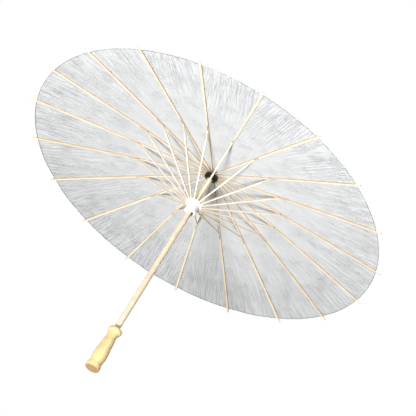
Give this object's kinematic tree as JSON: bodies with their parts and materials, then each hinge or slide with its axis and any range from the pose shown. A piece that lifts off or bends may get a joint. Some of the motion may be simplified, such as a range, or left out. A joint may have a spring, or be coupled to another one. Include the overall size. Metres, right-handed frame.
{
  "type": "paper umbrella",
  "caption": "Open paper parasol with fine bamboo ribs and stretchers, a straight wooden shaft, a sliding runner with a sprung catch and a turned wooden handle.",
  "frame": {"origin": "centre of the handle's foot, at the end of the shaft", "axes": "+Z along the shaft from the handle to the canopy; the first rib points along -Y"},
  "size_m": [0.8174, 0.8146, 0.559],
  "materials": {
    "bamboo_rib": "smooth split bamboo",
    "bamboo_stretcher": "smooth split bamboo",
    "shaft_wood": "sanded, pale",
    "handle_wood": "turned and lightly waxed",
    "hub_black": "glossy black lacquer",
    "runner_white": "satin white",
    "paper": "crinkled, oiled",
    "thread": "twisted thread",
    "steel": "dull drawn wire",
    "finial_wood": "turned, pale"
  },
  "bodies": {
    "shaft": {"shaft": "shaft_wood", "handle": "handle_wood", "upper_hub": "hub_black", "hub_wire": "steel", "top_cap": "hub_black", "finial": "finial_wood", "canopy": "paper", "centre_paper": "paper", "rim_thread": "thread", "catch_pin": "steel"},
    "runner": {"runner": "runner_white", "runner_wire": "steel"},
    "catch": {"catch": "steel"},
    "rib_01": {"rib_01": "bamboo_rib"},
    "stretcher_01": {"stretcher_01": "bamboo_stretcher"},
    "rib_02": {"rib_02": "bamboo_rib"},
    "stretcher_02": {"stretcher_02": "bamboo_stretcher"},
    "rib_03": {"rib_03": "bamboo_rib"},
    "stretcher_03": {"stretcher_03": "bamboo_stretcher"},
    "rib_04": {"rib_04": "bamboo_rib"},
    "stretcher_04": {"stretcher_04": "bamboo_stretcher"},
    "rib_05": {"rib_05": "bamboo_rib"},
    "stretcher_05": {"stretcher_05": "bamboo_stretcher"},
    "rib_06": {"rib_06": "bamboo_rib"},
    "stretcher_06": {"stretcher_06": "bamboo_stretcher"},
    "rib_07": {"rib_07": "bamboo_rib"},
    "stretcher_07": {"stretcher_07": "bamboo_stretcher"},
    "rib_08": {"rib_08": "bamboo_rib"},
    "stretcher_08": {"stretcher_08": "bamboo_stretcher"},
    "rib_09": {"rib_09": "bamboo_rib"},
    "stretcher_09": {"stretcher_09": "bamboo_stretcher"},
    "rib_10": {"rib_10": "bamboo_rib"},
    "stretcher_10": {"stretcher_10": "bamboo_stretcher"},
    "rib_11": {"rib_11": "bamboo_rib"},
    "stretcher_11": {"stretcher_11": "bamboo_stretcher"},
    "rib_12": {"rib_12": "bamboo_rib"},
    "stretcher_12": {"stretcher_12": "bamboo_stretcher"},
    "rib_13": {"rib_13": "bamboo_rib"},
    "stretcher_13": {"stretcher_13": "bamboo_stretcher"},
    "rib_14": {"rib_14": "bamboo_rib"},
    "stretcher_14": {"stretcher_14": "bamboo_stretcher"},
    "rib_15": {"rib_15": "bamboo_rib"},
    "stretcher_15": {"stretcher_15": "bamboo_stretcher"},
    "rib_16": {"rib_16": "bamboo_rib"},
    "stretcher_16": {"stretcher_16": "bamboo_stretcher"},
    "rib_17": {"rib_17": "bamboo_rib"},
    "stretcher_17": {"stretcher_17": "bamboo_stretcher"},
    "rib_18": {"rib_18": "bamboo_rib"},
    "stretcher_18": {"stretcher_18": "bamboo_stretcher"},
    "rib_19": {"rib_19": "bamboo_rib"},
    "stretcher_19": {"stretcher_19": "bamboo_stretcher"}
  },
  "joints": [
    {"name": "runner_slide", "type": "slide", "parent": "shaft", "child": "runner", "axis": [0, 0, -1], "range_m": [0, 0.2373], "deforming": ["canopy", "rim_thread", "catch"]},
    {"name": "rib_fold_01", "type": "hinge", "parent": "shaft", "child": "rib_01", "pos_m": [0, -0.011, 0.527], "axis": [1, 0, 0], "range_deg": [0, 78.51]},
    {"name": "stretcher_fold_01", "type": "hinge", "parent": "rib_01", "child": "stretcher_01", "pos_m": [0, -0.168, 0.5063], "axis": [-1, 0, 0], "range_deg": [0, 143.17]},
    {"name": "rib_fold_02", "type": "hinge", "parent": "shaft", "child": "rib_02", "pos_m": [0.00357, -0.0104, 0.527], "axis": [0.9458, 0.3247, 0], "range_deg": [0, 78.51]},
    {"name": "stretcher_fold_02", "type": "hinge", "parent": "rib_02", "child": "stretcher_02", "pos_m": [0.05455, -0.1589, 0.5063], "axis": [-0.9458, -0.3247, 0], "range_deg": [0, 143.17]},
    {"name": "rib_fold_03", "type": "hinge", "parent": "shaft", "child": "rib_03", "pos_m": [0.00676, -0.00868, 0.527], "axis": [0.7891, 0.6142, 0], "range_deg": [0, 78.51]},
    {"name": "stretcher_fold_03", "type": "hinge", "parent": "rib_03", "child": "stretcher_03", "pos_m": [0.10319, -0.13258, 0.5063], "axis": [-0.7891, -0.6142, 0], "range_deg": [0, 143.17]},
    {"name": "rib_fold_04", "type": "hinge", "parent": "shaft", "child": "rib_04", "pos_m": [0.00921, -0.00602, 0.527], "axis": [0.5469, 0.8372, 0], "range_deg": [0, 78.51]},
    {"name": "stretcher_fold_04", "type": "hinge", "parent": "rib_04", "child": "stretcher_04", "pos_m": [0.14064, -0.09189, 0.5063], "axis": [-0.5469, -0.8372, 0], "range_deg": [0, 143.17]},
    {"name": "rib_fold_05", "type": "hinge", "parent": "shaft", "child": "rib_05", "pos_m": [0.01066, -0.0027, 0.527], "axis": [0.2455, 0.9694, 0], "range_deg": [0, 78.51]},
    {"name": "stretcher_fold_05", "type": "hinge", "parent": "rib_05", "child": "stretcher_05", "pos_m": [0.16286, -0.04124, 0.5063], "axis": [-0.2455, -0.9694, 0], "range_deg": [0, 143.17]},
    {"name": "rib_fold_06", "type": "hinge", "parent": "shaft", "child": "rib_06", "pos_m": [0.01096, 0.00091, 0.527], "axis": [-0.0826, 0.9966, 0], "range_deg": [0, 78.51]},
    {"name": "stretcher_fold_06", "type": "hinge", "parent": "rib_06", "child": "stretcher_06", "pos_m": [0.16743, 0.01387, 0.5063], "axis": [0.0826, -0.9966, 0], "range_deg": [0, 143.17]},
    {"name": "rib_fold_07", "type": "hinge", "parent": "shaft", "child": "rib_07", "pos_m": [0.01007, 0.00442, 0.527], "axis": [-0.4017, 0.9158, 0], "range_deg": [0, 78.51]},
    {"name": "stretcher_fold_07", "type": "hinge", "parent": "rib_07", "child": "stretcher_07", "pos_m": [0.15385, 0.06748, 0.5063], "axis": [0.4017, -0.9158, 0], "range_deg": [0, 143.17]},
    {"name": "rib_fold_08", "type": "hinge", "parent": "shaft", "child": "rib_08", "pos_m": [0.00809, 0.00745, 0.527], "axis": [-0.6773, 0.7357, 0], "range_deg": [0, 78.51]},
    {"name": "stretcher_fold_08", "type": "hinge", "parent": "rib_08", "child": "stretcher_08", "pos_m": [0.1236, 0.11378, 0.5063], "axis": [0.6773, -0.7357, 0], "range_deg": [0, 143.17]},
    {"name": "rib_fold_09", "type": "hinge", "parent": "shaft", "child": "rib_09", "pos_m": [0.00524, 0.00967, 0.527], "axis": [-0.8795, 0.4759, 0], "range_deg": [0, 78.51]},
    {"name": "stretcher_fold_09", "type": "hinge", "parent": "rib_09", "child": "stretcher_09", "pos_m": [0.07996, 0.14775, 0.5063], "axis": [0.8795, -0.4759, 0], "range_deg": [0, 143.17]},
    {"name": "rib_fold_10", "type": "hinge", "parent": "shaft", "child": "rib_10", "pos_m": [0.00181, 0.01085, 0.527], "axis": [-0.9864, 0.1646, 0], "range_deg": [0, 78.51]},
    {"name": "stretcher_fold_10", "type": "hinge", "parent": "rib_10", "child": "stretcher_10", "pos_m": [0.02765, 0.16571, 0.5063], "axis": [0.9864, -0.1646, 0], "range_deg": [0, 143.17]},
    {"name": "rib_fold_11", "type": "hinge", "parent": "shaft", "child": "rib_11", "pos_m": [-0.00181, 0.01085, 0.527], "axis": [-0.9864, -0.1646, 0], "range_deg": [0, 78.51]},
    {"name": "stretcher_fold_11", "type": "hinge", "parent": "rib_11", "child": "stretcher_11", "pos_m": [-0.02765, 0.16571, 0.5063], "axis": [0.9864, 0.1646, 0], "range_deg": [0, 143.17]},
    {"name": "rib_fold_12", "type": "hinge", "parent": "shaft", "child": "rib_12", "pos_m": [-0.00524, 0.00967, 0.527], "axis": [-0.8795, -0.4759, 0], "range_deg": [0, 78.51]},
    {"name": "stretcher_fold_12", "type": "hinge", "parent": "rib_12", "child": "stretcher_12", "pos_m": [-0.07996, 0.14775, 0.5063], "axis": [0.8795, 0.4759, 0], "range_deg": [0, 143.17]},
    {"name": "rib_fold_13", "type": "hinge", "parent": "shaft", "child": "rib_13", "pos_m": [-0.00809, 0.00745, 0.527], "axis": [-0.6773, -0.7357, 0], "range_deg": [0, 78.51]},
    {"name": "stretcher_fold_13", "type": "hinge", "parent": "rib_13", "child": "stretcher_13", "pos_m": [-0.1236, 0.11378, 0.5063], "axis": [0.6773, 0.7357, 0], "range_deg": [0, 143.17]},
    {"name": "rib_fold_14", "type": "hinge", "parent": "shaft", "child": "rib_14", "pos_m": [-0.01007, 0.00442, 0.527], "axis": [-0.4017, -0.9158, 0], "range_deg": [0, 78.51]},
    {"name": "stretcher_fold_14", "type": "hinge", "parent": "rib_14", "child": "stretcher_14", "pos_m": [-0.15385, 0.06748, 0.5063], "axis": [0.4017, 0.9158, 0], "range_deg": [0, 143.17]},
    {"name": "rib_fold_15", "type": "hinge", "parent": "shaft", "child": "rib_15", "pos_m": [-0.01096, 0.00091, 0.527], "axis": [-0.0826, -0.9966, 0], "range_deg": [0, 78.51]},
    {"name": "stretcher_fold_15", "type": "hinge", "parent": "rib_15", "child": "stretcher_15", "pos_m": [-0.16743, 0.01387, 0.5063], "axis": [0.0826, 0.9966, 0], "range_deg": [0, 143.17]},
    {"name": "rib_fold_16", "type": "hinge", "parent": "shaft", "child": "rib_16", "pos_m": [-0.01066, -0.0027, 0.527], "axis": [0.2455, -0.9694, 0], "range_deg": [0, 78.51]},
    {"name": "stretcher_fold_16", "type": "hinge", "parent": "rib_16", "child": "stretcher_16", "pos_m": [-0.16286, -0.04124, 0.5063], "axis": [-0.2455, 0.9694, 0], "range_deg": [0, 143.17]},
    {"name": "rib_fold_17", "type": "hinge", "parent": "shaft", "child": "rib_17", "pos_m": [-0.00921, -0.00602, 0.527], "axis": [0.5469, -0.8372, 0], "range_deg": [0, 78.51]},
    {"name": "stretcher_fold_17", "type": "hinge", "parent": "rib_17", "child": "stretcher_17", "pos_m": [-0.14064, -0.09189, 0.5063], "axis": [-0.5469, 0.8372, 0], "range_deg": [0, 143.17]},
    {"name": "rib_fold_18", "type": "hinge", "parent": "shaft", "child": "rib_18", "pos_m": [-0.00676, -0.00868, 0.527], "axis": [0.7891, -0.6142, 0], "range_deg": [0, 78.51]},
    {"name": "stretcher_fold_18", "type": "hinge", "parent": "rib_18", "child": "stretcher_18", "pos_m": [-0.10319, -0.13258, 0.5063], "axis": [-0.7891, 0.6142, 0], "range_deg": [0, 143.17]},
    {"name": "rib_fold_19", "type": "hinge", "parent": "shaft", "child": "rib_19", "pos_m": [-0.00357, -0.0104, 0.527], "axis": [0.9458, -0.3247, 0], "range_deg": [0, 78.51]},
    {"name": "stretcher_fold_19", "type": "hinge", "parent": "rib_19", "child": "stretcher_19", "pos_m": [-0.05455, -0.1589, 0.5063], "axis": [-0.9458, 0.3247, 0], "range_deg": [0, 143.17]},
    {"name": "catch_press", "type": "hinge", "parent": "shaft", "child": "catch", "pos_m": [0.00205, -0.00143, 0.393], "axis": [-0.5736, -0.8192, 0], "range_deg": [0, 7], "stiffness_Nm_per_rad": 0.4}
  ],
  "couplings": [
    {"joint": "rib_fold_01", "follows": "runner_slide", "rad_per_m": 5.7728},
    {"joint": "stretcher_fold_01", "follows": "runner_slide", "rad_per_m": 10.528},
    {"joint": "rib_fold_02", "follows": "runner_slide", "rad_per_m": 5.7728},
    {"joint": "stretcher_fold_02", "follows": "runner_slide", "rad_per_m": 10.528},
    {"joint": "rib_fold_03", "follows": "runner_slide", "rad_per_m": 5.7728},
    {"joint": "stretcher_fold_03", "follows": "runner_slide", "rad_per_m": 10.528},
    {"joint": "rib_fold_04", "follows": "runner_slide", "rad_per_m": 5.7728},
    {"joint": "stretcher_fold_04", "follows": "runner_slide", "rad_per_m": 10.528},
    {"joint": "rib_fold_05", "follows": "runner_slide", "rad_per_m": 5.7728},
    {"joint": "stretcher_fold_05", "follows": "runner_slide", "rad_per_m": 10.528},
    {"joint": "rib_fold_06", "follows": "runner_slide", "rad_per_m": 5.7728},
    {"joint": "stretcher_fold_06", "follows": "runner_slide", "rad_per_m": 10.528},
    {"joint": "rib_fold_07", "follows": "runner_slide", "rad_per_m": 5.7728},
    {"joint": "stretcher_fold_07", "follows": "runner_slide", "rad_per_m": 10.528},
    {"joint": "rib_fold_08", "follows": "runner_slide", "rad_per_m": 5.7728},
    {"joint": "stretcher_fold_08", "follows": "runner_slide", "rad_per_m": 10.528},
    {"joint": "rib_fold_09", "follows": "runner_slide", "rad_per_m": 5.7728},
    {"joint": "stretcher_fold_09", "follows": "runner_slide", "rad_per_m": 10.528},
    {"joint": "rib_fold_10", "follows": "runner_slide", "rad_per_m": 5.7728},
    {"joint": "stretcher_fold_10", "follows": "runner_slide", "rad_per_m": 10.528},
    {"joint": "rib_fold_11", "follows": "runner_slide", "rad_per_m": 5.7728},
    {"joint": "stretcher_fold_11", "follows": "runner_slide", "rad_per_m": 10.528},
    {"joint": "rib_fold_12", "follows": "runner_slide", "rad_per_m": 5.7728},
    {"joint": "stretcher_fold_12", "follows": "runner_slide", "rad_per_m": 10.528},
    {"joint": "rib_fold_13", "follows": "runner_slide", "rad_per_m": 5.7728},
    {"joint": "stretcher_fold_13", "follows": "runner_slide", "rad_per_m": 10.528},
    {"joint": "rib_fold_14", "follows": "runner_slide", "rad_per_m": 5.7728},
    {"joint": "stretcher_fold_14", "follows": "runner_slide", "rad_per_m": 10.528},
    {"joint": "rib_fold_15", "follows": "runner_slide", "rad_per_m": 5.7728},
    {"joint": "stretcher_fold_15", "follows": "runner_slide", "rad_per_m": 10.528},
    {"joint": "rib_fold_16", "follows": "runner_slide", "rad_per_m": 5.7728},
    {"joint": "stretcher_fold_16", "follows": "runner_slide", "rad_per_m": 10.528},
    {"joint": "rib_fold_17", "follows": "runner_slide", "rad_per_m": 5.7728},
    {"joint": "stretcher_fold_17", "follows": "runner_slide", "rad_per_m": 10.528},
    {"joint": "rib_fold_18", "follows": "runner_slide", "rad_per_m": 5.7728},
    {"joint": "stretcher_fold_18", "follows": "runner_slide", "rad_per_m": 10.528},
    {"joint": "rib_fold_19", "follows": "runner_slide", "rad_per_m": 5.7728},
    {"joint": "stretcher_fold_19", "follows": "runner_slide", "rad_per_m": 10.528}
  ]
}
